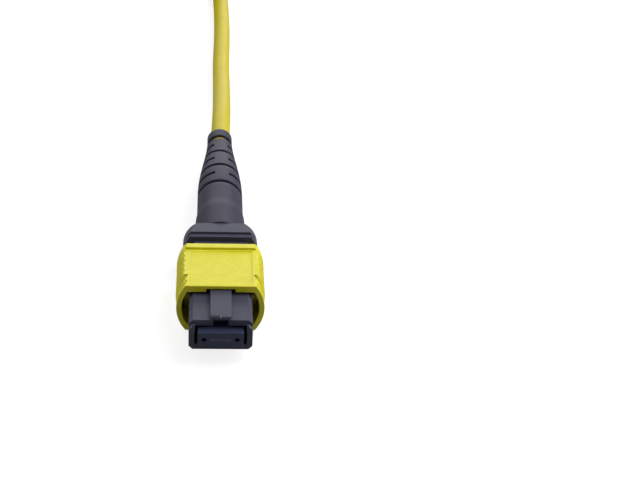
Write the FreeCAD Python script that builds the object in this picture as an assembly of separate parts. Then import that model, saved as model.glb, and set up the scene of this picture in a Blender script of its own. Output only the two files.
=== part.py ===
import FreeCAD, Part
import math
import os

# Push-pull multi-fibre connector on the end of a 1 m round fibre lead, with the lead's other
# connector lying on the tied hank of spare cable.
#
# Frame, in millimetres: the origin is the centre of the ferrule's end face, midway between its
# two guide holes. X is the width, +Y runs from the end face back along the cable, and +Z is the
# side with the key. The lead lies on a surface at z = -FLOOR_DROP.

V = FreeCAD.Vector
EPS = 0.01          # overlap of cutters that open into each other
PAST = 1.0          # how far a cutter runs past the face that it opens

# ---- ferrule: the moulded block that holds the fibres ----
FERRULE_WIDTH = 6.4
FERRULE_HEIGHT = 2.5
FERRULE_LENGTH = 8.0
FACE_ANGLE = 8.0            # the end face leans back from its key side, in degrees
FLANGE_WIDTH = 7.0
FLANGE_HEIGHT = 3.0
FLANGE_LENGTH = 2.0
GUIDE_PITCH = 4.6           # between the two guide holes
GUIDE_RADIUS = 0.35
POCKET_WIDTH = 3.5          # open back of the ferrule, where the rubber boot sits
POCKET_HEIGHT = 1.3
POCKET_DEPTH = 3.0
WINDOW_WIDTH = 2.8          # glue window in the ferrule's key side
WINDOW_LENGTH = 1.2

# ---- fibres and the ribbon behind them ----
FIBRE_COUNT = 12
FIBRE_PITCH = 0.25
FIBRE_RADIUS = 0.0625
GLUE = 0.0005               # round each bare fibre
WINDOW_FLOOR = 0.19         # floor of the glue window, above the fibres' plane
RIBBON_WIDTH = 3.1
RIBBON_THICKNESS = 0.3
BUNDLE_SIDE = 1.0           # the fibres once they leave the flat ribbon

# ---- inner housing ----
HOUSING_WIDTH = 8.9
HOUSING_HEIGHT = 5.0
HOUSING_CORNER = 0.55
CHEEK_FRONT = 0.45          # the two cheeks beside the ferrule stand this far behind its face
CHEEK_HEIGHT = 3.8
CHEEK_CORNER = 0.5
LIP_SETBACK = 0.76          # the lips above and below the ferrule, behind the cheeks
MOUTH_GAP_X = 0.42          # round the ferrule, inside the mouth
MOUTH_GAP_Z = 0.27
SHOULDER_LENGTH = 1.0       # inner ring that stops the ferrule's flange
CHAMBER_CLEAR = 0.1         # round the flange
SPRING_CHAMBER_WIDTH = 6.4
KEY_WIDTH = 3.0
KEY_RISE = 0.69
KEY_LENGTH = 14.8
KEY_NOSE = 0.35             # height of the ramp on the key's front edge
KEY_NOSE_LENGTH = 0.18
KEY_ROOT = 0.5              # the key's block starts this far inside the housing's top
KEY_UNDERCUT = 0.4          # height of the bevel below the key's front corners
KEY_LAND = 0.08             # left between the bevel's foot and the notch
KEY_NOTCH_WIDTH = 2.1       # slot through the upper lip below the key
KEY_NOTCH_LENGTH = 1.0

# ---- coupling: the sliding sleeve ----
COUPLING_FRONT = 7.6
COUPLING_LENGTH = 10.85
COUPLING_HEIGHT = 7.7
COUPLING_TRAVEL = 2.5
FRONT_FLAT = 5.04           # half width of the flat top, smooth front zone
FRONT_BOW = 6.34            # half width at the middle of the bowed side, front zone
GRIP_FLAT = 5.45
GRIP_BOW = 6.5
GRIP_START = 3.15           # where the wider grip begins, behind the sleeve's front
GRIP_DEPTH = 0.22           # of a groove, at the middle of the bowed side
GRIP_PITCH = 1.3
GRIP_WAVES = 5              # grooves in the wide grip
FRONT_WAVES = 2             # grooves ahead of it
GRIP_STEP = 0.15            # length of the slope up to the wide grip
RIM_LENGTH = 1.15
RIM_RISE = 0.35
RIM_CORNER = 0.4
TOP_WALL = 1.04
SIDE_WALL = 0.75
POCKET_INSET = 0.25         # the latch pocket's flat is this much narrower than the sleeve's
KEYWAY_WIDTH = 4.15
KEYWAY_WALL = 0.54
LATCH_POCKET_LENGTH = 4.4   # wide front part that the adapter's hooks enter
GUIDE_CLEAR = 0.05          # the sleeve on the housing
PANEL_RECESS = 0.1
PANEL_MARGIN = 0.75

# ---- coupling springs, one on each side ----
SIDE_SPRING_RADIUS = 0.6
SIDE_SPRING_WIRE = 0.22
SIDE_SPRING_TURNS = 6
SIDE_SPRING_STEPS = 6
COIL_GAP = 0.03             # between a closed end turn and the next
SIDE_SPRING_INSET = 0.15    # the spring's axis stands this far outside the housing's side
LUG_FRONT = 10.4            # lug of the sleeve that pushes the spring
LUG_LENGTH = 1.0
LUG_HEIGHT = 1.0
SEAT_Y = 17.2               # rear seat of the side springs
SEAT_LENGTH = 0.8
CHANNEL_CLEAR = 0.1

# ---- pin keeper, rubber boot and main spring behind the ferrule ----
KEEPER_PLATE = 1.2
RUBBER_CLEAR = 0.05
RUBBER_LENGTH = 5.4
MAIN_SPRING_WIDTH = 6.1
MAIN_SPRING_HEIGHT = 2.9
MAIN_SPRING_WIRE = 0.5
MAIN_SPRING_TURNS = 5
MAIN_SPRING_STEPS = 8       # straight pieces in a turn
FERRULE_TRAVEL = 0.9

# ---- rear body: the push that closes the housing ----
PLUG_FRONT = 17.0
PLUG_CLEAR = 0.07
REAR_FRONT = 21.75
LEDGE_LENGTH = 0.85
LEDGE_HEIGHT = 6.6
REAR_HEIGHT = 7.3
REAR_LENGTH = 3.45
REAR_BOW = 5.7
REAR_FLAT_FRONT = 4.6
REAR_FLAT_BACK = 3.6
CATCH_LENGTH = 1.2          # side catches that snap into the housing's windows
CATCH_HEIGHT = 1.6
CATCH_RAMP = 0.8            # length of the slope on the catch's front
CATCH_STAND = 0.12          # the catch stays this far inside the housing's side
WINDOW_CLEAR = 0.12
CATCH_INSET = 1.4           # catch's rear edge ahead of the rear body's front face
RIBBON_CHANNEL_WIDTH = 3.5
RIBBON_CHANNEL_HEIGHT = 1.2
SPIGOT_RADIUS = 2.5
SPIGOT_LENGTH = 6.8
SPIGOT_BORE = 1.7

# ---- crimp, boot and the end of the cable inside them ----
CABLE_RADIUS = 1.65
CABLE_SIDES = 8             # flats round the plain tubes that stand for the free cable
ARC_SHARE = 0.45            # share of a run of the cable's route that an arc at its end takes up
JACKET_WALL = 0.45
YARN_THICKNESS = 0.18
CRIMP_WALL = 0.3
CRIMP_START = 1.2           # behind the rear body's back face
CRIMP_NECK = 5.0
BOOT_LENGTH = 34.5
BOOT_CLEAR = 0.06
BOOT_BASE_RADIUS = 3.87     # thicker base of the boot
BOOT_BASE_LENGTH = 8.4
BOOT_RADIUS = 3.65
BOOT_TIP_RADIUS = 2.1
TAPER_START = 14.3          # where the tail begins to narrow, behind the boot's base
COLLAR_RADIUS = 2.15
COLLAR_LENGTH = 2.65
SLOT_WIDTH = 0.8
SLOT_START = 12.9           # first slot, behind the boot's base
SLOT_PITCH = 3.0
SLOT_COUNT = 7
SLOT_WEB_SIDE = 0.5         # half height of the webs left by the upper and lower slots
SLOT_WEB_TOP = 1.25         # half width of the webs left by the side slots

# ---- hank of spare cable, its tie and the far connector that lies on it ----
HANK_LAYERS = 3
HANK_COLUMNS = 2
HANK_FOLD = 9.9             # radius of the inner turns at their folds
HANK_RUN = 34.0
HANK_NEAR_Y = 153.5         # where the straight runs begin
TIE_WIDTH = 12.0
TIE_THICKNESS = 0.8
FAR_X = -1.5
FAR_EXIT_Y = 156.0
FAR_STRAIGHT = 4.2          # straight run of the cable into the far boot
FAR_SEAT = 0.05             # the far boot above the tie
FAR_RINGS = (1, 4)          # slots where the far boot's plain rings step down

# ---- worked out from the above ----
CABLE_DIAMETER = 2 * CABLE_RADIUS
REAR_BACK = REAR_FRONT + REAR_LENGTH
BOOT_END = REAR_BACK + BOOT_LENGTH
COUPLING_BACK = COUPLING_FRONT + COUPLING_LENGTH
LIP_FRONT = CHEEK_FRONT + LIP_SETBACK
FLANGE_FRONT = FERRULE_LENGTH - FLANGE_LENGTH
RIBBON_FRONT = FERRULE_LENGTH - POCKET_DEPTH
KEEPER_BACK = FERRULE_LENGTH + KEEPER_PLATE
FLOOR_DROP = COUPLING_HEIGHT / 2 + RIM_RISE
KEYWAY_CEILING = COUPLING_HEIGHT / 2 - KEYWAY_WALL
SIDE_SPRING_X = HOUSING_WIDTH / 2 + SIDE_SPRING_INSET
CHANNEL_FLOOR = SIDE_SPRING_X - SIDE_SPRING_RADIUS - CHANNEL_CLEAR / 2
CHANNEL_HALF = SIDE_SPRING_RADIUS + CHANNEL_CLEAR / 2
YARN_OUTER = SPIGOT_RADIUS + YARN_THICKNESS
CRIMP_RADIUS = YARN_OUTER + CRIMP_WALL
CORE_RADIUS = CABLE_RADIUS - JACKET_WALL
SPIGOT_BACK = REAR_BACK + SPIGOT_LENGTH
JACKET_FRONT = SPIGOT_BACK + YARN_THICKNESS
CRIMP_BACK = JACKET_FRONT + CRIMP_NECK
HANK_X = -(HANK_FOLD + (HANK_COLUMNS - 1) * CABLE_DIAMETER)    # outer run in line with the boot
HANK_OUTER = HANK_FOLD + (HANK_COLUMNS - 0.5) * CABLE_DIAMETER
HANK_INNER = HANK_FOLD - CABLE_RADIUS
HANK_HEIGHT = HANK_LAYERS * CABLE_DIAMETER
HANK_BASE = TIE_THICKNESS - FLOOR_DROP
HANK_TOP = HANK_BASE + HANK_HEIGHT
FAR_Z = HANK_TOP + TIE_THICKNESS + BOOT_RADIUS + FAR_SEAT


# ---- shapes that several pieces share ----
def box(x0, x1, y0, y1, z0, z1):
    """A block between two corners."""
    return Part.makeBox(x1 - x0, y1 - y0, z1 - z0, V(x0, y0, z0))


def slab(width, height, y0, y1):
    """A block centred on the connector's axis."""
    return box(-width / 2, width / 2, y0, y1, -height / 2, height / 2)


def rod(radius, y0, y1, x=0.0, z=0.0):
    """A round bar along Y."""
    return Part.makeCylinder(radius, y1 - y0, V(x, y0, z), V(0, 1, 0))


def fine_rod(radius, y0, y1, x):
    """A hair-thin bar along Y, six-sided, since it is far too small to look anything but round."""
    ring = [V(x + radius * math.cos(a), y0, radius * math.sin(a))
            for a in (math.pi * i / 3 for i in range(6))]
    return flat_face(ring).extrude(V(0, y1 - y0, 0))


def bar(width, height, corner, y0, y1):
    """A block along Y with its four long edges cut off at 45 degrees."""
    w, h = width / 2, height / 2
    ring = [(w - corner, h), (w, h - corner), (w, corner - h), (w - corner, -h),
            (corner - w, -h), (-w, corner - h), (-w, h - corner), (corner - w, h)]
    return flat_face([V(x, y0, z) for x, z in ring]).extrude(V(0, y1 - y0, 0))


def bowed(flat, bow, height, y):
    """Outline across the connector: flat top and bottom, sides that bow out as arcs."""
    h = height / 2
    corners = [V(-flat, y, h), V(flat, y, h), V(flat, y, -h), V(-flat, y, -h)]
    return Part.Wire([
        Part.makeLine(corners[0], corners[1]),
        Part.Arc(corners[1], V(bow, y, 0), corners[2]).toShape(),
        Part.makeLine(corners[2], corners[3]),
        Part.Arc(corners[3], V(-bow, y, 0), corners[0]).toShape(),
    ])


def bowed_body(sections):
    """A solid through bowed outlines, each given as (flat, bow, height, y)."""
    return Part.makeLoft([bowed(*s) for s in sections], True, True)


def turned(profile):
    """A solid of revolution about the connector's axis, from (y, radius) corners."""
    return flat_face([V(0, y, r) for y, r in profile]).revolve(V(0, 0, 0), V(0, 1, 0), 360)


def joined(shapes):
    """One solid out of several that touch or overlap."""
    return shapes[0].fuse(shapes[1:]).removeSplitter()


def mirrored(shape):
    """The same shape on the other side of the connector."""
    return shape.mirror(V(0, 0, 0), V(1, 0, 0))


def mirror_z(shape):
    """The same shape on the side away from the key."""
    return shape.mirror(V(0, 0, 0), V(0, 0, 1))


def rectangle(width, height, y):
    """Outline of a rectangle across the connector."""
    w, h = width / 2, height / 2
    corners = [V(-w, y, -h), V(w, y, -h), V(w, y, h), V(-w, y, h)]
    return Part.makePolygon(corners + corners[:1])


def flat_face(corners):
    """The flat face between corners given in order."""
    return Part.Face(Part.makePolygon(corners + corners[:1]))


def coil_spring(half_x, half_z, wire, y0, y1, turns, per_turn, x=0.0):
    """A square-wire compression spring along Y between two seats, with closed end turns."""
    half = wire / 2
    steps = turns * per_turn
    length = y1 - y0 - wire
    dead = (wire + COIL_GAP) / length          # share of the length in each closed end turn
    rings = []
    for i in range(steps + 1):
        turn = i / per_turn
        if turn <= 1:
            share = dead * turn
        elif turn >= turns - 1:
            share = 1 - dead * (turns - turn)
        else:
            share = dead + (1 - 2 * dead) * (turn - 1) / (turns - 2)
        a = 2 * math.pi * turn
        y = y0 + half + length * share
        corners = []
        for out, along in ((-half, -half), (half, -half), (half, half), (-half, half)):
            corners.append(V(x + (half_x - half + out) * math.cos(a), y + along,
                             (half_z - half + out) * math.sin(a)))
        rings.append(corners)
    faces = [flat_face(rings[0]), flat_face(rings[-1][::-1])]
    for near, far in zip(rings, rings[1:]):
        for i, j in ((0, 1), (1, 2), (2, 3), (3, 0)):
            faces += [flat_face([near[i], near[j], far[j]]), flat_face([near[i], far[j], far[i]])]
    shell = Part.makeShell(faces)
    shell.sewShape()
    wound = Part.makeSolid(shell)
    return wound if wound.Volume > 0 else wound.reversed()


# ---- the pieces of one connector ----
def ferrule():
    lean = math.tan(math.radians(FACE_ANGLE)) * FERRULE_HEIGHT / 2
    h, w = FERRULE_HEIGHT / 2, FERRULE_WIDTH / 2
    side = [V(-w, -lean, h), V(-w, FERRULE_LENGTH, h), V(-w, FERRULE_LENGTH, -h), V(-w, lean, -h)]
    body = flat_face(side).extrude(V(FERRULE_WIDTH, 0, 0))
    body = joined([body, slab(FLANGE_WIDTH, FLANGE_HEIGHT, FLANGE_FRONT, FERRULE_LENGTH)])
    cutters = guide_holes()
    cutters += [fine_rod(FIBRE_RADIUS + GLUE, -PAST, RIBBON_FRONT + EPS, x)
                for x in fibre_places()]
    cutters.append(slab(POCKET_WIDTH, POCKET_HEIGHT, RIBBON_FRONT, FERRULE_LENGTH + PAST))
    window_front = FLANGE_FRONT - WINDOW_LENGTH - SHOULDER_LENGTH / 2
    cutters.append(box(-WINDOW_WIDTH / 2, WINDOW_WIDTH / 2, window_front,
                       window_front + WINDOW_LENGTH, WINDOW_FLOOR, h + PAST))
    return body.cut(cutters)


def guide_holes():
    """Cutters for the two holes that take the guide pins."""
    return [rod(GUIDE_RADIUS, -PAST, FERRULE_LENGTH + PAST, side * GUIDE_PITCH / 2)
            for side in (-1, 1)]


def fibre_places():
    """The fibres' places across the ferrule."""
    first = -FIBRE_PITCH * (FIBRE_COUNT - 1) / 2
    return [first + FIBRE_PITCH * i for i in range(FIBRE_COUNT)]


def optical_fibres():
    return Part.makeCompound([fine_rod(FIBRE_RADIUS, 0, RIBBON_FRONT, x) for x in fibre_places()])


def fibre_ribbon():
    """The flat ribbon, which closes up to a square bundle inside the crimp."""
    flat = slab(RIBBON_WIDTH, RIBBON_THICKNESS, RIBBON_FRONT, REAR_BACK)
    gather = Part.makeLoft([rectangle(RIBBON_WIDTH, RIBBON_THICKNESS, REAR_BACK),
                            rectangle(BUNDLE_SIDE, BUNDLE_SIDE, SPIGOT_BACK)], True, True)
    bundle = slab(BUNDLE_SIDE, BUNDLE_SIDE, SPIGOT_BACK, BOOT_END)
    return joined([flat, gather, bundle])


def ferrule_boot():
    """Rubber sleeve that holds the ribbon in the ferrule's back."""
    outside = slab(POCKET_WIDTH - 2 * RUBBER_CLEAR, POCKET_HEIGHT - 2 * RUBBER_CLEAR,
                   RIBBON_FRONT, RIBBON_FRONT + RUBBER_LENGTH)
    inside = slab(RIBBON_WIDTH, RIBBON_THICKNESS, RIBBON_FRONT - PAST,
                  RIBBON_FRONT + RUBBER_LENGTH + PAST)
    return outside.cut(inside)


def pin_keeper():
    """Plate behind the ferrule that the main spring pushes on."""
    plate = slab(FLANGE_WIDTH - CHAMBER_CLEAR, FLANGE_HEIGHT - CHAMBER_CLEAR,
                 FERRULE_LENGTH, KEEPER_BACK)
    slot = slab(POCKET_WIDTH, POCKET_HEIGHT, FERRULE_LENGTH - PAST, KEEPER_BACK + PAST)
    return plate.cut(slot)


def main_spring():
    return coil_spring(MAIN_SPRING_WIDTH / 2, MAIN_SPRING_HEIGHT / 2, MAIN_SPRING_WIRE,
                       KEEPER_BACK, PLUG_FRONT, MAIN_SPRING_TURNS, MAIN_SPRING_STEPS)


def inner_housing():
    body = bar(HOUSING_WIDTH, HOUSING_HEIGHT, HOUSING_CORNER, LIP_FRONT, REAR_FRONT)
    cheeks = bar(HOUSING_WIDTH, CHEEK_HEIGHT, CHEEK_CORNER, CHEEK_FRONT, LIP_FRONT + PAST)
    top = HOUSING_HEIGHT / 2
    key_top = top + KEY_RISE
    key_side = [V(-KEY_WIDTH / 2, y, z) for y, z in (
        (LIP_FRONT, top - KEY_ROOT), (LIP_FRONT, key_top - KEY_NOSE),
        (LIP_FRONT + KEY_NOSE_LENGTH, key_top), (LIP_FRONT + KEY_LENGTH, key_top),
        (LIP_FRONT + KEY_LENGTH, top - KEY_ROOT))]
    key = flat_face(key_side).extrude(V(KEY_WIDTH, 0, 0))
    undercut = flat_face([V(KEY_NOTCH_WIDTH / 2 + KEY_LAND, LIP_FRONT - PAST, top),
                          V(KEY_WIDTH / 2 + PAST, LIP_FRONT - PAST, top),
                          V(KEY_WIDTH / 2 + PAST, LIP_FRONT - PAST, top + KEY_UNDERCUT),
                          V(KEY_WIDTH / 2, LIP_FRONT - PAST, top + KEY_UNDERCUT)])
    undercut = undercut.extrude(V(0, PAST + KEY_NOTCH_LENGTH, 0))
    key = key.cut([undercut, mirrored(undercut)])
    mouth_width = FERRULE_WIDTH + 2 * MOUTH_GAP_X
    mouth_height = FERRULE_HEIGHT + 2 * MOUTH_GAP_Z
    shoulder_front = FLANGE_FRONT - SHOULDER_LENGTH
    keeper_room = KEEPER_BACK + FERRULE_TRAVEL + CHAMBER_CLEAR
    chamber_height = FLANGE_HEIGHT + 2 * CHAMBER_CLEAR
    side_face = HOUSING_WIDTH / 2
    cutters = [
        slab(mouth_width, mouth_height, CHEEK_FRONT - PAST, shoulder_front),
        # between the cheeks the housing is open above and below the ferrule
        slab(mouth_width, HOUSING_HEIGHT + 2 * KEY_RISE, CHEEK_FRONT - PAST, LIP_FRONT),
        slab(FERRULE_WIDTH + CHAMBER_CLEAR, FERRULE_HEIGHT + CHAMBER_CLEAR,
             shoulder_front - EPS, FLANGE_FRONT + EPS),
        slab(FLANGE_WIDTH + 2 * CHAMBER_CLEAR, chamber_height, FLANGE_FRONT, keeper_room),
        slab(SPRING_CHAMBER_WIDTH, chamber_height, keeper_room - EPS, REAR_FRONT + PAST),
        box(-KEY_NOTCH_WIDTH / 2, KEY_NOTCH_WIDTH / 2, LIP_FRONT - PAST,
            LIP_FRONT + KEY_NOTCH_LENGTH, 0, top),
    ]
    catch_back = REAR_FRONT - CATCH_INSET
    channel = box(CHANNEL_FLOOR, side_face + PAST, LUG_FRONT, SEAT_Y, -CHANNEL_HALF, CHANNEL_HALF)
    window = box(SPRING_CHAMBER_WIDTH / 2 - PAST, side_face + PAST,
                 catch_back - CATCH_LENGTH - WINDOW_CLEAR, catch_back + WINDOW_CLEAR,
                 -CATCH_HEIGHT / 2 - WINDOW_CLEAR, CATCH_HEIGHT / 2 + WINDOW_CLEAR)
    cutters += [channel, window, mirrored(channel), mirrored(window)]
    seat = box(CHANNEL_FLOOR, SIDE_SPRING_X + SIDE_SPRING_RADIUS, SEAT_Y, SEAT_Y + SEAT_LENGTH,
               -LUG_HEIGHT / 2, LUG_HEIGHT / 2)
    return joined([joined([body, cheeks, key]).cut(cutters), seat, mirrored(seat)])


def grip_sections():
    """The coupling's outlines from front to back.

    Grooves run round the bowed sides, deepest at their middle, ahead of the step up to the wide
    grip and then all along it. The flats stay flat."""
    def section(y, flat, bow):
        return (flat, bow, COUPLING_HEIGHT, COUPLING_FRONT + y)

    def grooves(start, count, flat, bow):
        waves = []
        for i in range(count):
            y = start + i * GRIP_PITCH
            waves += [section(y, flat, bow), section(y + GRIP_PITCH / 2, flat, bow - GRIP_DEPTH)]
        return waves

    step = GRIP_START - GRIP_STEP
    front = [section(0, FRONT_FLAT, FRONT_BOW)]
    front += grooves(step - FRONT_WAVES * GRIP_PITCH, FRONT_WAVES, FRONT_FLAT, FRONT_BOW)
    front.append(section(step, FRONT_FLAT, FRONT_BOW))
    wide = grooves(GRIP_START, GRIP_WAVES, GRIP_FLAT, GRIP_BOW)
    back = [section(COUPLING_LENGTH - RIM_LENGTH, GRIP_FLAT, GRIP_BOW),
            section(COUPLING_LENGTH, GRIP_FLAT, GRIP_BOW)]
    return front + wide + back


def coupling():
    return sleeve(grip_sections())


def sleeve(sections):
    """The coupling's bored and slotted body inside the given outlines."""
    outer = bowed_body(sections)
    rim_front = COUPLING_BACK - RIM_LENGTH
    rim = bar(2 * GRIP_FLAT, COUPLING_HEIGHT + 2 * RIM_RISE, RIM_CORNER, rim_front, COUPLING_BACK)
    panel_half = FRONT_FLAT - PANEL_MARGIN
    top = COUPLING_HEIGHT / 2
    panel = box(-panel_half, panel_half, COUPLING_FRONT + PANEL_MARGIN, rim_front - PANEL_MARGIN,
                top - PANEL_RECESS, top + PAST)
    inner_flat = FRONT_FLAT - POCKET_INSET
    pocket_back = COUPLING_FRONT + LATCH_POCKET_LENGTH
    pocket = bowed_body([(inner_flat, FRONT_BOW - SIDE_WALL, COUPLING_HEIGHT - 2 * TOP_WALL, y)
                         for y in (COUPLING_FRONT - PAST, pocket_back)])
    guide = bar(HOUSING_WIDTH + 2 * GUIDE_CLEAR, HOUSING_HEIGHT + 2 * GUIDE_CLEAR, HOUSING_CORNER,
                pocket_back - EPS, COUPLING_BACK + PAST)
    keyway = slab(KEYWAY_WIDTH, 2 * KEYWAY_CEILING, COUPLING_FRONT - PAST, COUPLING_BACK + PAST)
    channel_width = 2 * (SIDE_SPRING_X + SIDE_SPRING_RADIUS + CHANNEL_CLEAR)
    channel = slab(channel_width, 2 * CHANNEL_HALF, pocket_back - EPS, COUPLING_BACK + PAST)
    lug = box(CHANNEL_FLOOR + CHANNEL_CLEAR, FRONT_BOW - SIDE_WALL / 2, LUG_FRONT,
              LUG_FRONT + LUG_LENGTH, -LUG_HEIGHT / 2, LUG_HEIGHT / 2)
    shell = joined([outer, rim]).cut([panel, mirror_z(panel), pocket, guide, keyway, channel])
    return joined([shell, lug, mirrored(lug)])


def side_spring(side):
    return coil_spring(SIDE_SPRING_RADIUS, SIDE_SPRING_RADIUS, SIDE_SPRING_WIRE,
                       LUG_FRONT + LUG_LENGTH, SEAT_Y, SIDE_SPRING_TURNS, SIDE_SPRING_STEPS,
                       side * SIDE_SPRING_X)


def rear_body():
    """The visible ledge and block, with the plug and catches inside the housing and the spigot."""
    riser = REAR_FRONT + LEDGE_LENGTH
    ledge = Part.Face(bowed(REAR_FLAT_FRONT, REAR_BOW, LEDGE_HEIGHT, REAR_FRONT)).extrude(
        V(0, LEDGE_LENGTH, 0))
    block = bowed_body([(REAR_FLAT_FRONT, REAR_BOW, REAR_HEIGHT, riser),
                        (REAR_FLAT_BACK, REAR_BOW, REAR_HEIGHT, REAR_BACK)])
    plug = slab(SPRING_CHAMBER_WIDTH - 2 * PLUG_CLEAR,
                FLANGE_HEIGHT + 2 * CHAMBER_CLEAR - 2 * PLUG_CLEAR, PLUG_FRONT, REAR_FRONT)
    catch_back = REAR_FRONT - CATCH_INSET
    inside = SPRING_CHAMBER_WIDTH / 2 - PLUG_CLEAR
    root = inside - CATCH_RAMP
    tip = HOUSING_WIDTH / 2 - CATCH_STAND
    ramp = [V(root, catch_back - CATCH_LENGTH, 0), V(inside, catch_back - CATCH_LENGTH, 0),
            V(tip, catch_back - CATCH_LENGTH + CATCH_RAMP, 0), V(tip, catch_back, 0),
            V(root, catch_back, 0)]
    catch = flat_face(ramp).extrude(V(0, 0, CATCH_HEIGHT))
    catch.translate(V(0, 0, -CATCH_HEIGHT / 2))
    spigot = rod(SPIGOT_RADIUS, riser, SPIGOT_BACK)
    body = joined([ledge, block, plug, catch, mirrored(catch), spigot])
    cutters = [slab(RIBBON_CHANNEL_WIDTH, RIBBON_CHANNEL_HEIGHT, PLUG_FRONT - PAST,
                    REAR_BACK + EPS),
               rod(SPIGOT_BORE, REAR_BACK, SPIGOT_BACK + PAST)]
    return body.cut(cutters)


def aramid_yarn():
    """Strength yarn, spread over the spigot, where the crimp holds it, and in across its end."""
    start = REAR_BACK + CRIMP_START
    return turned([(start, SPIGOT_RADIUS), (start, YARN_OUTER), (JACKET_FRONT, YARN_OUTER),
                   (JACKET_FRONT, CORE_RADIUS), (SPIGOT_BACK, CORE_RADIUS),
                   (SPIGOT_BACK, SPIGOT_RADIUS)])


def cable_jacket():
    """End of the cable's jacket, from the crimp out to the tip of the boot."""
    return rod(CABLE_RADIUS, JACKET_FRONT, BOOT_END).cut(
        rod(CORE_RADIUS, JACKET_FRONT - PAST, BOOT_END + PAST))


def crimp_ring():
    """Metal ring, wide over the spigot and stepped down to grip the jacket."""
    start = REAR_BACK + CRIMP_START
    step = JACKET_FRONT + CRIMP_WALL
    neck = CABLE_RADIUS + CRIMP_WALL
    return turned([(start, YARN_OUTER), (start, CRIMP_RADIUS), (step, CRIMP_RADIUS),
                   (step, neck), (CRIMP_BACK, neck), (CRIMP_BACK, CABLE_RADIUS),
                   (JACKET_FRONT, CABLE_RADIUS), (JACKET_FRONT, YARN_OUTER)])


def slot_front(i):
    """Where slot i of the boot's tail begins."""
    return REAR_BACK + SLOT_START + i * SLOT_PITCH


def tail_radius(y):
    """Radius of the boot at y: half a cosine wave from the barrel down to the tip."""
    start = REAR_BACK + TAPER_START
    share = max(0, (y - start) / (BOOT_END - start))
    wave = (1 + math.cos(math.pi * share)) / 2
    return BOOT_TIP_RADIUS + (BOOT_RADIUS - BOOT_TIP_RADIUS) * wave


def strain_relief_boot():
    """Bored boot with a thick base, a smooth barrel and a slotted tail that ends in a collar.

    Each ring of the tail, from the middle of one slot to the middle of the next, has one
    radius."""
    collar = BOOT_END - COLLAR_LENGTH
    base = REAR_BACK + BOOT_BASE_LENGTH
    outline = [(REAR_BACK, 0), (REAR_BACK, BOOT_BASE_RADIUS), (base, BOOT_BASE_RADIUS),
               (base, BOOT_RADIUS)]
    middles = [slot_front(i) + SLOT_WIDTH / 2 for i in range(SLOT_COUNT)]
    radius = BOOT_RADIUS
    for middle, following in zip(middles, middles[1:]):
        after = tail_radius((middle + following) / 2)
        outline += [(middle, radius), (middle, after)]
        radius = after
    outline += [(collar, radius), (collar, COLLAR_RADIUS), (BOOT_END, COLLAR_RADIUS),
                (BOOT_END, 0)]
    neck = CABLE_RADIUS + CRIMP_WALL
    wide_end = JACKET_FRONT + CRIMP_WALL + BOOT_CLEAR
    bore = [rod(CRIMP_RADIUS + BOOT_CLEAR, REAR_BACK - PAST, wide_end),
            rod(neck + BOOT_CLEAR, REAR_BACK, CRIMP_BACK + BOOT_CLEAR),
            rod(CABLE_RADIUS + BOOT_CLEAR, REAR_BACK, BOOT_END + PAST)]
    return turned(outline).cut(bore + boot_slots())


def boot_slots():
    """Cuts across the tail, in turn from above and below and from the two sides."""
    reach = BOOT_RADIUS + PAST
    cuts = []
    for i in range(SLOT_COUNT):
        y = slot_front(i)
        if i % 2 == 0:
            cut = box(-reach, reach, y, y + SLOT_WIDTH, SLOT_WEB_SIDE, reach)
            cuts += [cut, mirror_z(cut)]
        else:
            cut = box(SLOT_WEB_TOP, reach, y, y + SLOT_WIDTH, -reach, reach)
            cuts += [cut, mirrored(cut)]
    return cuts


# ---- the free cable ----
def cable_tube(name, points):
    """Round cable along straight runs joined by tangent arcs, each as large as its runs allow."""
    points = [V(*p) for p in points]
    edges, start, radii = [], points[0], []
    for before, here, after in zip(points, points[1:], points[2:]):
        back, ahead = (before - here), (after - here)
        trim = ARC_SHARE * min(back.Length, ahead.Length)
        back.normalize()
        ahead.normalize()
        half_turn = (math.pi - back.getAngle(ahead)) / 2
        radius = trim / math.tan(half_turn)
        bisector = (back + ahead).normalize()
        deep = radius / math.cos(half_turn) - radius
        first, last = here + back * trim, here + ahead * trim
        edges.append(Part.makeLine(start, first))
        edges.append(Part.Arc(first, here + bisector * deep, last).toShape())
        start = last
        radii.append(radius)
    edges.append(Part.makeLine(start, points[-1]))
    path = Part.Wire(edges)
    along = (points[1] - points[0]).normalize()
    across = along.cross(V(0, 0, 1)).normalize()
    over = across.cross(along)
    half_side = math.pi / CABLE_SIDES
    reach = CABLE_RADIUS / math.cos(half_side)
    ring = [points[0] + (across * math.cos(a) + over * math.sin(a)) * reach
            for a in ((2 * i + 1) * half_side for i in range(CABLE_SIDES))]
    tube = path.makePipeShell([Part.makePolygon(ring + ring[:1])], True, True)
    expected = CABLE_SIDES * CABLE_RADIUS ** 2 * math.tan(half_side) * path.Length
    print(f"{name}: {path.Length:.0f} mm, radii {min(radii):.1f} to {max(radii):.0f} mm, "
          f"volume ratio {tube.Volume / expected:.4f}, lowest z {tube.BoundBox.ZMin:.2f}")
    return tube


def cable():
    """From the boot, down to the surface and along it to the hank's lowest turn."""
    low = CABLE_RADIUS - FLOOR_DROP
    turn = HANK_BASE + CABLE_RADIUS
    return cable_tube("cable", [
        (0, BOOT_END, 0), (0, 68.5, 0), (0.1, 77, -0.9), (0, 87, -2.3), (-0.1, 98, low),
        (0.3, 112, low), (-0.3, 127, low), (0.1, 138, low), (0, 147, turn),
        (0, HANK_NEAR_Y + 2, turn + 0.1)])


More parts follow.
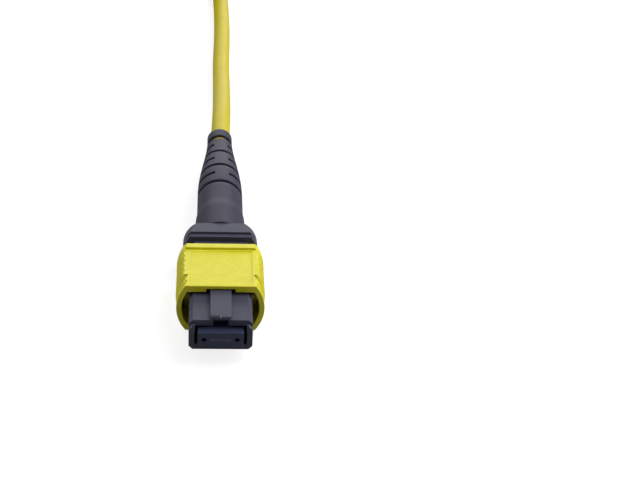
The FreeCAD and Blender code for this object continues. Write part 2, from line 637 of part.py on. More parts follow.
def cable_far_end():
    """From the hank's top turn, up and round its near fold into the far connector."""
    top_turn = HANK_TOP - CABLE_RADIUS
    left = 2 * HANK_X - FAR_X
    fold = HANK_X - left
    corner = fold * math.tan(math.pi / 8)
    middle = FAR_EXIT_Y - FAR_STRAIGHT
    climb = [top_turn + (FAR_Z - top_turn) * share for share in (0.3, 0.55, 0.8)]
    return cable_tube("cable_far_end", [
        (left, 170, top_turn), (left + 0.3, 159, top_turn), (left, middle - corner, climb[0]),
        (HANK_X - corner, middle - fold, climb[1]), (HANK_X + corner, middle - fold, climb[2]),
        (FAR_X, middle - corner, FAR_Z), (FAR_X, FAR_EXIT_Y, FAR_Z)])


def racetrack(radius, z0, z1):
    """A round-ended block seen from above, as the hank lies."""
    body = box(HANK_X - radius, HANK_X + radius, HANK_NEAR_Y, HANK_NEAR_Y + HANK_RUN, z0, z1)
    ends = [Part.makeCylinder(radius, z1 - z0, V(HANK_X, y, z0))
            for y in (HANK_NEAR_Y, HANK_NEAR_Y + HANK_RUN)]
    return joined([body] + ends)


def cable_hank():
    """Outer shape of the folded turns: two side by side, three high."""
    return racetrack(HANK_OUTER, HANK_BASE, HANK_TOP).cut(
        racetrack(HANK_INNER, HANK_BASE - PAST, HANK_TOP + PAST))


def hank_tie():
    """Strap round the middle of the hank."""
    middle = HANK_NEAR_Y + HANK_RUN / 2
    y0, y1 = middle - TIE_WIDTH / 2, middle + TIE_WIDTH / 2
    wide, high = 2 * HANK_OUTER, HANK_HEIGHT
    band = bar(wide + 2 * TIE_THICKNESS, high + 2 * TIE_THICKNESS, TIE_THICKNESS, y0, y1)
    band = band.cut(slab(wide, high, y0 - PAST, y1 + PAST))
    band.translate(V(HANK_X, 0, HANK_BASE + HANK_HEIGHT / 2))
    return band


# ---- the far connector: the same pieces with plainer grips and tail, closed inside ----
def far_coupling():
    step = COUPLING_FRONT + GRIP_START
    return sleeve([(FRONT_FLAT, FRONT_BOW, COUPLING_HEIGHT, COUPLING_FRONT),
                   (FRONT_FLAT, FRONT_BOW, COUPLING_HEIGHT, step - GRIP_STEP),
                   (GRIP_FLAT, GRIP_BOW, COUPLING_HEIGHT, step),
                   (GRIP_FLAT, GRIP_BOW, COUPLING_HEIGHT, COUPLING_BACK)])


def far_ferrule():
    return slab(FERRULE_WIDTH, FERRULE_HEIGHT, 0, FERRULE_LENGTH).cut(guide_holes())


def far_rear_body():
    outline = Part.Face(bowed(REAR_FLAT_BACK, REAR_BOW, REAR_HEIGHT, REAR_FRONT))
    return outline.extrude(V(0, REAR_LENGTH, 0))


def far_boot():
    radii = [BOOT_RADIUS, (BOOT_RADIUS + BOOT_TIP_RADIUS) / 2, BOOT_TIP_RADIUS, COLLAR_RADIUS]
    ends = [REAR_BACK] + [slot_front(i) for i in FAR_RINGS] + [BOOT_END - COLLAR_LENGTH, BOOT_END]
    return joined([rod(r, y0, y1) for r, y0, y1 in zip(radii, ends, ends[1:])])


# ---- assembly ----
NEAR = {
    "coupling": coupling,
    "inner_housing": inner_housing,
    "ferrule": ferrule,
    "rear_body": rear_body,
    "strain_relief_boot": strain_relief_boot,
    "optical_fibres": optical_fibres,
    "fibre_ribbon": fibre_ribbon,
    "ferrule_boot": ferrule_boot,
    "pin_keeper": pin_keeper,
    "main_spring": main_spring,
    "coupling_spring_left": lambda: side_spring(-1),
    "coupling_spring_right": lambda: side_spring(1),
    "aramid_yarn": aramid_yarn,
    "cable_jacket": cable_jacket,
    "crimp_ring": crimp_ring,
}
FAR = {
    "far_coupling": far_coupling,
    "far_inner_housing": inner_housing,
    "far_ferrule": far_ferrule,
    "far_rear_body": far_rear_body,
    "far_strain_relief_boot": far_boot,
}
LEAD = {
    "cable": cable,
    "cable_hank": cable_hank,
    "hank_tie": hank_tie,
    "cable_far_end": cable_far_end,
}


def at_far_end(shape):
    """Turns a piece of the connector round and lays it at the far end of the lead."""
    turned_round = shape.copy()
    turned_round.rotate(V(0, 0, 0), V(0, 0, 1), 180)
    turned_round.translate(V(FAR_X, FAR_EXIT_Y + BOOT_END, FAR_Z))
    return turned_round


def main():
    os.makedirs("parts", exist_ok=True)
    nodes = {name: make() for name, make in {**NEAR, **LEAD}.items()}
    nodes.update({name: at_far_end(make()) for name, make in FAR.items()})
    for name, shape in nodes.items():
        shape.exportStep(f"parts/{name}.step")


main()
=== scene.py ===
import math

import bmesh
import bpy
import numpy as np
from mathutils import Matrix, Vector


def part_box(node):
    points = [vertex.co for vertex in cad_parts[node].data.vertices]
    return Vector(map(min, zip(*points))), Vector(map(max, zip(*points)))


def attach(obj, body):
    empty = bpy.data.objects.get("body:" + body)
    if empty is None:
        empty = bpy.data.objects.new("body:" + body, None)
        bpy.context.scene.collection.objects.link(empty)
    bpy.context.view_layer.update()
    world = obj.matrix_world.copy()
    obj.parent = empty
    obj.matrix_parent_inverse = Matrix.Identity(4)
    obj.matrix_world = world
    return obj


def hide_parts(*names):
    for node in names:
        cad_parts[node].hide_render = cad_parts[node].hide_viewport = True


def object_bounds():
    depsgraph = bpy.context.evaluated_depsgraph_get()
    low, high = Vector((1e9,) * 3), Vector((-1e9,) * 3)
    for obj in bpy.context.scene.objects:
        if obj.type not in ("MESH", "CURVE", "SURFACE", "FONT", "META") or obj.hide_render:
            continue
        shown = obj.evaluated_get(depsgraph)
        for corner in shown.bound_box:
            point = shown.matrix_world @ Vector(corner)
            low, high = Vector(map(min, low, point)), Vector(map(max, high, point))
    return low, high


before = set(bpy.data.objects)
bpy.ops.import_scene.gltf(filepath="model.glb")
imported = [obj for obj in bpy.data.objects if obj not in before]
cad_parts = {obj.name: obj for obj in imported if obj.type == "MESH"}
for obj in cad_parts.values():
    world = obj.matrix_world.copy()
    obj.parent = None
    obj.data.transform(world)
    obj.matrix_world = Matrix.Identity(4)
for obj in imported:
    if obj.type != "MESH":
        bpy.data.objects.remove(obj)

bl_info = {
    "name": "Multi-fibre lead",
    "version": (1, 0, 0),
    "blender": (4, 5, 0),
    "location": "3D View > Sidebar > Fibre lead",
    "description": "Looks of a push-pull multi-fibre connector and its tied lead",
    "category": "Object",
}

CAD_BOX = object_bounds()
MM = 0.001
WHITE = (1.0, 1.0, 1.0, 1.0)
CREASE = math.radians(35)       # faces that meet at more than this keep an edge
ONE_POINT = 0.012 * MM          # CAD points closer than this are one
ONE_FACE = math.radians(0.8)    # CAD triangles that bend less than this are one face
STEEP_DEGREES = 24              # CAD edges that bend more than this aren't shaded smooth
SHORTEST_RIDGE = 6              # times its radius, for a ridge to be rounded


# ---- small tools ----
def linear(hex_colour):
    """sRGB hex to linear RGBA.

    Each channel c becomes ((c + 0.055) / 1.055) ^ 2.4, or c / 12.92 when dark."""
    channels = [int(hex_colour[i:i + 2], 16) / 255 for i in (1, 3, 5)]
    return tuple(c / 12.92 if c <= 0.04045 else ((c + 0.055) / 1.055) ** 2.4
                 for c in channels) + (1.0,)


def shaded(colour, share):
    """The colour with its channels times a share, none over 1."""
    return [min(1.0, c * share) for c in colour[:3]] + [1.0]


def feed(node, inputs):
    """Gives each named input of a node a value, or a link from another node's output."""
    for key, value in inputs.items():
        socket = node.inputs[key]
        if isinstance(value, bpy.types.NodeSocket):
            node.id_data.links.new(value, socket)
        else:
            socket.default_value = value


def add(tree, kind, inputs=None, **settings):
    """Adds a node with its settings and feeds its inputs."""
    node = tree.nodes.new(kind)
    for key, value in settings.items():
        setattr(node, key, value)
    feed(node, inputs or {})
    return node


def blank(name):
    """A new material with only a Principled shader.

    Returns the material, its tree, the shader and where a point is on the piece, in metres."""
    material = bpy.data.materials.new(name)
    material.use_nodes = True
    tree = material.node_tree
    where = add(tree, "ShaderNodeTexCoord").outputs["Object"]
    return material, tree, tree.nodes["Principled BSDF"], where


def mottled(tree, where, colour, amount, size_mm):
    """The colour made lighter and darker by an amount, in patches of the given size.

    Noise mostly lies between 0.3 and 0.7, which goes to the darkest and the lightest."""
    noise = add(tree, "ShaderNodeTexNoise", {"Vector": where, "Scale": 1 / (size_mm * MM),
                                             "Detail": 3.0})
    ramp = add(tree, "ShaderNodeMapRange", {"Value": noise.outputs["Fac"], "From Min": 0.3,
                                            "From Max": 0.7})
    return add(tree, "ShaderNodeMix", {"Factor": ramp.outputs["Result"],
                                       "A": shaded(colour, 1 - amount),
                                       "B": shaded(colour, 1 + amount)},
               data_type="RGBA").outputs["Result"]


def grain(tree, where, size_mm, depth_mm, strength):
    """Bump from fine noise: the mould's texture or the drawn surface, of the given size and depth.

    The real grain is often finer than this size, which is as coarse as it needs to show."""
    noise = add(tree, "ShaderNodeTexNoise", {"Vector": where, "Scale": 1 / (size_mm * MM),
                                             "Detail": 2.0, "Roughness": 0.6})
    return add(tree, "ShaderNodeBump", {"Height": noise.outputs["Fac"],
                                        "Distance": depth_mm * MM,
                                        "Strength": strength}).outputs["Normal"]


def give(piece, material):
    """Makes the material the only one on the piece."""
    piece.data.materials.clear()
    piece.data.materials.append(material)


def new_piece(name, data, body, replaced, material):
    """A mesh or curve as a finished piece that rides on a body and stands for CAD nodes."""
    piece = bpy.data.objects.new(name, data)
    bpy.context.scene.collection.objects.link(piece)
    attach(piece, body)
    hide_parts(*replaced)
    give(piece, material)


def creased(mesh):
    """The mesh, smooth but for its creases."""
    mesh.shade_smooth()
    mesh.set_sharp_from_angle(angle=CREASE)
    return mesh


def mesh_from(name, points, faces):
    """A mesh from arrays of points and of faces, without the points that no face uses."""
    used, corners = np.unique(faces, return_inverse=True)
    mesh = bpy.data.meshes.new(name)
    mesh.from_pydata(points[used].tolist(), [], corners.reshape(faces.shape).tolist())
    return creased(mesh)


def turned_outwards(mesh):
    """The closed mesh with all its faces pointing outwards."""
    shape = bmesh.new()
    shape.from_mesh(mesh)
    bmesh.ops.recalc_face_normals(shape, faces=shape.faces)
    shape.to_mesh(mesh)
    shape.free()
    return mesh


def applied(name, mesh, *modifiers):
    """The mesh after the given modifiers, each a type with its settings."""
    holder = bpy.data.objects.new(name, mesh)
    bpy.context.scene.collection.objects.link(holder)
    for kind, settings in modifiers:
        modifier = holder.modifiers.new(kind, kind)
        for key, value in settings.items():
            setattr(modifier, key, value)
    seen = bpy.context.evaluated_depsgraph_get()
    result = bpy.data.meshes.new_from_object(holder.evaluated_get(seen))
    result.name = name
    bpy.data.objects.remove(holder)
    return result


def merged(mesh, straight=True):
    """The mesh as a bmesh, its loose triangles joined to flat faces.

    With straight, the points that lie in straight edges go as well."""
    shape = bmesh.new()
    shape.from_mesh(mesh)
    bmesh.ops.remove_doubles(shape, verts=shape.verts, dist=ONE_POINT)
    bmesh.ops.dissolve_limit(shape, angle_limit=ONE_FACE, edges=shape.edges,
                             verts=shape.verts if straight else [])
    return shape


def softened(node, name, radius_mm, from_degrees=38, shaped=None):
    """A copy of a CAD node's mesh, its triangles merged to flat faces and its ridges rounded.

    A function given as shaped moves the points first. Ridges bend outwards by more than
    from_degrees and are long beside the radius; other steep edges stay sharp."""
    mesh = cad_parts[node].data.copy()
    mesh.name = name
    if shaped:
        shape = merged(mesh, straight=False)
        shape.to_mesh(mesh)
        shape.free()
        points = np.empty(3 * len(mesh.vertices), np.float32)
        mesh.vertices.foreach_get("co", points)
        mesh.vertices.foreach_set("co", shaped(points.reshape(-1, 3)).ravel())
    shape = merged(mesh)
    shortest = SHORTEST_RIDGE * radius_mm * MM
    bend = np.degrees([edge.calc_face_angle(0) for edge in shape.edges])
    ridge = (bend > from_degrees) & [edge.is_convex and edge.calc_length() > shortest
                                     for edge in shape.edges]
    sharp = (bend > min(from_degrees, STEEP_DEGREES)) & ~ridge
    shape.to_mesh(mesh)
    shape.free()
    mesh.shade_smooth()
    for key, kind, value in (("bevel_weight_edge", "FLOAT", ridge.astype(np.float32)),
                             ("sharp_edge", "BOOLEAN", sharp)):
        mesh.attributes.new(key, kind, "EDGE").data.foreach_set("value", value)
    return applied(name, mesh, ("BEVEL", {"width": radius_mm * MM, "segments": 2,
                                          "limit_method": "WEIGHT", "loop_slide": False,
                                          "use_clamp_overlap": False}),
                   ("WEIGHTED_NORMAL", {"keep_sharp": True, "weight": 80}))


def serrated(points, s):
    """The sleeve's panels made larger, and its grooves into steps that face forwards and run out
    to the flats' edges.

    Points near a flat's level, away from its borders, are the panels'. Those of their sides move
    outwards, and those of their back half backwards. Along y a groove is a triangle wave w, 0 on
    a ridge and 1 in a valley. A point of the bowed side at height z moves inwards by w times a
    depth, larger at the flats (|z| = top) than at the middle, and backwards by w times the lean,
    which brings a valley close to the next ridge."""
    sunk, border, rim = 0.2 * MM, 0.5 * MM, 1.5 * MM
    panel_sides = 4 * MM
    low, high = (np.array(corner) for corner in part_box("coupling"))
    top = high[2] - s.rim_rise
    x, y, z = points.T
    at_panel = (np.abs(z) > top - sunk) & (np.abs(x) < s.flat_edge - border)
    at_panel &= (y > low[1] + border) & (y < high[1] - rim)
    x = x + np.where(at_panel & (np.abs(x) > panel_sides), np.sign(x) * s.panel_wider, 0)
    y = y + np.where(at_panel & (y > (low[1] + high[1]) / 2), s.panel_longer, 0)
    wave = np.zeros_like(y)
    for start, count in ((s.front_grooves_start, s.front_grooves),
                         (s.wide_grooves_start, s.wide_grooves)):
        turn = (y - low[1] - start) / s.groove_pitch
        wave += np.where((turn > 0) & (turn < count), 1 - np.abs(2 * (turn % 1) - 1), 0)
    wave = np.where(np.abs(x) > s.flat_edge, wave, 0)
    height = np.clip(np.abs(z) / top, 0, 1)
    inward = wave * (s.groove_middle + (s.groove_edge - s.groove_middle) * height)
    return np.stack([x - np.sign(x) * inward, y + s.groove_lean * wave, z], 1)


def at_far_end(mesh, name):
    """The same mesh turned half round the vertical and moved to the lead's far end."""
    low, high = (np.array(corner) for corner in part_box("far_coupling"))
    near_low, near_high = (np.array(corner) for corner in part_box("coupling"))
    middle = (near_low + near_high) / 2
    shift = (low + high) / 2 - middle * np.array((-1, -1, 1))
    far = mesh.copy()
    far.name = name
    far.transform(Matrix.Translation(shift) @ Matrix.Rotation(math.pi, 4, "Z"))
    return far


def at_both_ends(name, mesh, bodies, node, material):
    """A piece at the connector that shows, and the same turned round at the lead's far end."""
    far = at_far_end(mesh, "far_" + name)
    new_piece(name, mesh, bodies[0], (node,), material)
    new_piece("far_" + name, far, bodies[1], ("far_" + node,), material)


# ---- finishes ----
def moulded_polycarbonate(colour):
    """Glass-filled polycarbonate from a polished tool: an even, slightly glossy yellow.

    The top and bottom panels are spark-eroded, so there the gloss breaks up into a coarser grain.
    They are found by their height, 0.45 mm under the rim."""
    material, tree, shader, where = blank("moulded_polycarbonate")
    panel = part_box("coupling")[1][2] - 0.45 * MM
    apart = add(tree, "ShaderNodeSeparateXYZ", {"Vector": where})
    height = add(tree, "ShaderNodeMath", {0: apart.outputs["Z"]}, operation="ABSOLUTE")
    on_panel = add(tree, "ShaderNodeMath", {0: height.outputs[0], 1: panel, 2: 0.04 * MM},
                   operation="COMPARE")
    coarse = add(tree, "ShaderNodeTexNoise", {"Vector": where, "Scale": 1 / (0.3 * MM),
                                              "Detail": 2.0})
    bump = add(tree, "ShaderNodeBump", {"Height": coarse.outputs["Fac"], "Distance": 0.07 * MM,
                                        "Strength": on_panel.outputs[0],
                                        "Normal": grain(tree, where, 0.35, 0.02, 0.5)})
    feed(shader, {"Base Color": mottled(tree, where, colour, 0.04, 1.6),
                  "Normal": bump.outputs["Normal"], "Roughness": 0.42, "IOR": 1.58})
    return material


def moulded_polymer(colour):
    """Dark polymer from a blasted tool: satin, with a faint bluish cast.

    A thin pale line down the front of the key is a painted highlight, the glint of light on the
    seam where the tool's halves met. It is where a point is near the line's middle on all
    three axes."""
    material, tree, shader, where = blank("moulded_polymer")
    apart = add(tree, "ShaderNodeSeparateXYZ", {"Vector": where})
    # Mask of the painted highlight on the key's seam.
    line = 1.0
    for axis, middle_mm, half_mm in (("X", 0.0, 0.06), ("Y", 1.3, 0.16), ("Z", 3.0, 0.22)):
        near = add(tree, "ShaderNodeMath", {0: apart.outputs[axis], 1: middle_mm * MM,
                                            2: half_mm * MM}, operation="COMPARE")
        line = add(tree, "ShaderNodeMath", {0: near.outputs[0], 1: line},
                   operation="MULTIPLY").outputs[0]
    # The painted highlight: the colour five times as light on the seam.
    mix = add(tree, "ShaderNodeMix", {"Factor": line, "B": shaded(colour, 5),
                                      "A": mottled(tree, where, colour, 0.08, 0.9)},
              data_type="RGBA")
    feed(shader, {"Base Color": mix.outputs["Result"],
                  "Normal": grain(tree, where, 0.16, 0.012, 0.6),
                  "Roughness": 0.5, "IOR": 1.53, "Specular IOR Level": 0.36})
    return material


def filled_resin(colour):
    """Silica-filled resin, moulded and then ground and polished on its end face: satin and dark,
    speckled by its filler."""
    material, tree, shader, where = blank("filled_resin")
    feed(shader, {"Base Color": mottled(tree, where, colour, 0.1, 0.12),
                  "Normal": grain(tree, where, 0.1, 0.004, 0.5),
                  "Roughness": 0.4, "IOR": 1.55, "Specular IOR Level": 0.33})
    return material


def moulded_elastomer(colour):
    """Thermoplastic elastomer: matte, with a soft bloom and a fine blasted grain."""
    material, tree, shader, where = blank("moulded_elastomer")
    feed(shader, {"Base Color": mottled(tree, where, colour, 0.1, 1.4),
                  "Normal": grain(tree, where, 0.2, 0.015, 0.6),
                  "Roughness": 0.5, "IOR": 1.5, "Specular IOR Level": 0.22})
    return material


def extruded_jacket(colour):
    """Low-smoke cable jacket, extruded: smooth, with faint waves from the die."""
    material, tree, shader, where = blank("extruded_jacket")
    feed(shader, {"Base Color": mottled(tree, where, colour, 0.05, 2.5),
                  "Normal": grain(tree, where, 0.5, 0.01, 0.4),
                  "Roughness": 0.45, "IOR": 1.5, "Specular IOR Level": 0.25})
    return material


def drawn_steel(colour):
    """Spring steel wire, drawn: bright, with a fine rough skin."""
    material, tree, shader, where = blank("drawn_steel")
    feed(shader, {"Base Color": mottled(tree, where, colour, 0.06, 0.2),
                  "Normal": grain(tree, where, 0.06, 0.003, 0.5),
                  "Metallic": 1.0, "Roughness": 0.28})
    return material


def plated_crimp(colour):
    """Nickel plating over a rolled ring: satin metal with rub marks."""
    material, tree, shader, where = blank("plated_crimp")
    feed(shader, {"Base Color": mottled(tree, where, colour, 0.08, 0.7),
                  "Normal": grain(tree, where, 0.15, 0.006, 0.6),
                  "Metallic": 1.0, "Roughness": 0.35})
    return material


def combed_aramid(colour):
    """Aramid yarn combed along the cable: golden strands.

    Each strand is 0.12 mm wide, many of its far finer filaments, and 12 times as long."""
    material, tree, shader, where = blank("combed_aramid")
    strands = add(tree, "ShaderNodeMapping", {"Vector": where, "Scale": (1.0, 0.08, 1.0)})
    noise = add(tree, "ShaderNodeTexNoise", {"Vector": strands.outputs["Vector"],
                                             "Scale": 1 / (0.12 * MM), "Detail": 3.0})
    # The colour follows the bump's height: painted shade where the strands lie low, full colour
    # where they stand high.
    mix = add(tree, "ShaderNodeMix", {"Factor": noise.outputs["Fac"], "A": shaded(colour, 0.6),
                                      "B": colour}, data_type="RGBA")
    bump = add(tree, "ShaderNodeBump", {"Height": noise.outputs["Fac"], "Distance": 0.05 * MM})
    feed(shader, {"Base Color": mix.outputs["Result"], "Normal": bump.outputs["Normal"],
                  "Roughness": 0.6})
    return material


def fused_silica(colour):
    """Drawn silica fibre: clear and bright, polished at its end."""
    material, tree, shader, where = blank("fused_silica")
    feed(shader, {"Base Color": mottled(tree, where, colour, 0.03, 0.05),
                  "Roughness": 0.08, "IOR": 1.46})
    return material


def coated_ribbon(colour):
    """Acrylate ribbon coating over the fibres: ribs 0.25 mm apart across it."""
    material, tree, shader, where = blank("coated_ribbon")
    ribs = add(tree, "ShaderNodeTexWave", {"Vector": where, "Scale": math.pi / (10 * 0.25 * MM),
                                           "Distortion": 0.0},
               wave_type="BANDS", bands_direction="X")
    bump = add(tree, "ShaderNodeBump", {"Height": ribs.outputs["Fac"], "Distance": 0.03 * MM})
    feed(shader, {"Base Color": mottled(tree, where, colour, 0.05, 0.6),
                  "Normal": bump.outputs["Normal"], "Roughness": 0.3})
    return material


def moulded_rubber(colour):
    """Soft rubber, moulded: near black and dull."""
    material, tree, shader, where = blank("moulded_rubber")
    feed(shader, {"Base Color": mottled(tree, where, colour, 0.1, 0.5),
                  "Normal": grain(tree, where, 0.12, 0.01, 0.6), "Roughness": 0.7})
    return material


def woven_nylon(colour):
    """Hook-and-loop strap: nylon loops 0.45 mm apart that stand up as a low pile."""
    material, tree, shader, where = blank("woven_nylon")
    loops = add(tree, "ShaderNodeTexVoronoi", {"Vector": where, "Scale": 1 / (0.45 * MM)})
    # The colour follows the bump's height: painted shade where the pile is low and painted light
    # where it is high.
    mix = add(tree, "ShaderNodeMix", {"Factor": loops.outputs["Distance"],
                                      "A": shaded(colour, 0.5), "B": shaded(colour, 2.2)},
              data_type="RGBA")
    bump = add(tree, "ShaderNodeBump", {"Height": loops.outputs["Distance"],
                                        "Distance": 0.2 * MM})
    feed(shader, {"Base Color": mix.outputs["Result"], "Normal": bump.outputs["Normal"],
                  "Roughness": 0.85, "Sheen Weight": 0.3})
    return material


def pale_board():
    """White studio board, lit from below: only the camera sees the glow, so it lights nothing,
    and the grey under it takes a faint shadow and throws little light up."""
    material, tree, shader, where = blank("pale_board")
    grey, glow = 0.3, 0.78
    seen = add(tree, "ShaderNodeLightPath").outputs["Is Camera Ray"]
    shown = add(tree, "ShaderNodeMath", {0: seen, 1: glow}, operation="MULTIPLY").outputs[0]
    feed(shader, {"Base Color": mottled(tree, where, (grey,) * 3, 0.01, 40.0),
                  "Emission Color": WHITE, "Emission Strength": shown, "Roughness": 0.9})
    return material


# ---- shapes ----
def boot_mesh(name, s):
    """Boot as r(y) swept round the cable's axis, with slots cut through it.

    Along y the outer radius is the thick base, eased down to the barrel, then half a cosine wave
    down to the tip, then the collar. The whole is turned a little on the cable. Round the axis
    each quarter's angles are spread between the two angles at which a slot's webs end,
    arcsin(side web / r) and arccos(top web / r), so that the webs' edges stay straight. Cells
    inside a slot are left out, and walls join the outer and inner surfaces wherever a cell has
    no neighbour."""
    row_length, half_step, rounding = 0.4 * MM, 0.06 * MM, 0.05 * MM
    # The bore fits the crimp, then its neck, and then the cable.
    bore_steps = np.array([0, 7.33, 7.35, 12.03, 12.05, 40]) * MM
    bore_radii = np.array([3.04, 3.04, 2.01, 2.01, 1.71, 1.71]) * MM
    low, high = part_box("strain_relief_boot")
    base, end = low[1], high[1]
    first, taper = base + s.slot_start, base + s.taper_start
    widths = [s.slot_width] * (s.slot_count - 1) + [s.last_slot]
    slots = [(first + i * s.slot_pitch, first + i * s.slot_pitch + width)
             for i, width in enumerate(widths)]
    ease = base + s.base_length - s.base_ease / 2, base + s.base_length + s.base_ease / 2
    collar = end - s.collar_length
    edges = sorted([base, *ease, collar - half_step, collar + half_step, end]
                   + [y for pair in slots for y in pair])
    rows = np.unique(np.concatenate([np.linspace(a, b, int((b - a) / row_length) + 2)
                                     for a, b in zip(edges, edges[1:])]))

    wave = (1 + np.cos(np.pi * np.clip((rows - taper) / (end - taper), 0, 1))) / 2
    eased = np.clip((ease[1] - rows) / (ease[1] - ease[0]), 0, 1)
    outer = s.tip_radius + (s.barrel_radius - s.tip_radius) * wave
    outer += (s.base_radius - s.barrel_radius) * eased * eased * (3 - 2 * eased)
    outer = np.where(rows > collar, s.collar_radius, outer)
    inner = np.interp(rows - base, bore_steps, bore_radii)

    side = np.arcsin(s.web_side / outer)
    top = np.arccos(s.web_top / outer)
    knots = np.stack([np.zeros_like(side), side, top, np.full_like(side, np.pi / 2)], 1)
    steps = (3, 10, 6)
    share = np.concatenate([[0.0]] + [i + np.linspace(0, 1, count + 1)[1:]
                                      for i, count in enumerate(steps)])
    whole = np.minimum(share.astype(int), len(steps) - 1)
    part = share - whole
    quarter = knots[:, whole] * (1 - part) + knots[:, whole + 1] * part
    angle = np.concatenate([quarter, np.pi - quarter[:, -2::-1], np.pi + quarter[:, 1:],
                            2 * np.pi - quarter[:, -2:0:-1]], 1)
    count = angle.shape[1]

    def ring(radius):
        y = np.broadcast_to(rows[:, None], angle.shape)
        seen = angle - s.turn
        return np.stack([radius[:, None] * np.cos(seen), y, radius[:, None] * np.sin(seen)],
                        2).reshape(-1, 3)

    beside = (np.arange(count) + 1) % count
    middle_y = (rows[1:] + rows[:-1]) / 2
    middle = (angle + angle[:, beside] + (beside == 0) * 2 * np.pi)[:-1] / 2
    across = np.abs(outer[:-1, None] * np.cos(middle))
    up = np.abs(outer[:-1, None] * np.sin(middle))
    keep = np.ones((len(rows) - 1, count), bool)
    for i, (start, stop) in enumerate(slots):
        inside = ((middle_y > start) & (middle_y < stop))[:, None]
        keep &= ~(inside & (up > s.web_side if i % 2 == 0 else across > s.web_top))

    here = np.arange(len(rows) * count).reshape(-1, count)
    there = here[:, beside]
    deeper = here.size
    cells = [here[:-1], there[:-1], there[1:], here[1:]]
    faces = [np.stack(cells, 2)[keep], np.stack(cells[::-1], 2)[keep] + deeper]
    padded = np.pad(keep, ((1, 1), (0, 0)))
    at_row = padded[1:] != padded[:-1]
    at_angle = keep != np.roll(keep, 1, 1)
    for a, b in ((here[at_row], there[at_row]), (here[:-1][at_angle], here[1:][at_angle])):
        faces.append(np.stack([a, a + deeper, b + deeper, b], 1))
    mesh = turned_outwards(mesh_from(name, np.concatenate([ring(outer), ring(inner)]),
                                     np.concatenate(faces)))
    return creased(applied(name, mesh, ("BEVEL", {"width": rounding, "segments": 2,
                                                  "limit_method": "ANGLE",
                                                  "angle_limit": math.radians(45),
                                                  "use_clamp_overlap": True})))


def superellipse(count, power):
    """Points round |u|^power + |v|^power = 1, as the arrays u and v.

    u is sign(cos t) |cos t|^(2 / power), and v the same of the sine."""
    t = np.linspace(0, 2 * np.pi, count + 1)[:-1]
    return [np.sign(f) * np.abs(f) ** (2 / power) for f in (np.cos(t), np.sin(t))]


def strap_mesh(name, s):
    """A flat strap carried round a rounded rectangle.

    The path is a superellipse of power 12 round the hank, and the strap's own section is a thin
    rectangle with round edges, a superellipse of power 6, that stands square to the path."""
    path_steps, section_steps = 240, 24
    low, high = (np.array(corner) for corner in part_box("hank_tie"))
    middle = (low + high) / 2
    half = (high - low) / 2
    half_thick = s.strap_thickness / 2
    u, v = superellipse(path_steps, 12)
    path = np.stack([(half[0] - half_thick) * u, (half[2] - half_thick) * v], 1)
    along = np.roll(path, -1, 0) - np.roll(path, 1, 0)
    outward = np.stack([along[:, 1], -along[:, 0]], 1)
    outward /= np.linalg.norm(outward, axis=1)[:, None]
    wide, thick = superellipse(section_steps, 6)
    x = middle[0] + path[:, 0][:, None] + outward[:, 0][:, None] * half_thick * thick
    z = middle[2] + path[:, 1][:, None] + outward[:, 1][:, None] * half_thick * thick
    y = middle[1] + np.broadcast_to(half[1] * wide, x.shape)
    here = np.arange(x.size).reshape(x.shape)
    there = np.roll(here, -1, 0)
    faces = np.stack([here, np.roll(here, -1, 1), np.roll(there, -1, 1), there], 2)
    return turned_outwards(mesh_from(name, np.stack([x, y, z], 2).reshape(-1, 3),
                                     faces.reshape(-1, 4)))


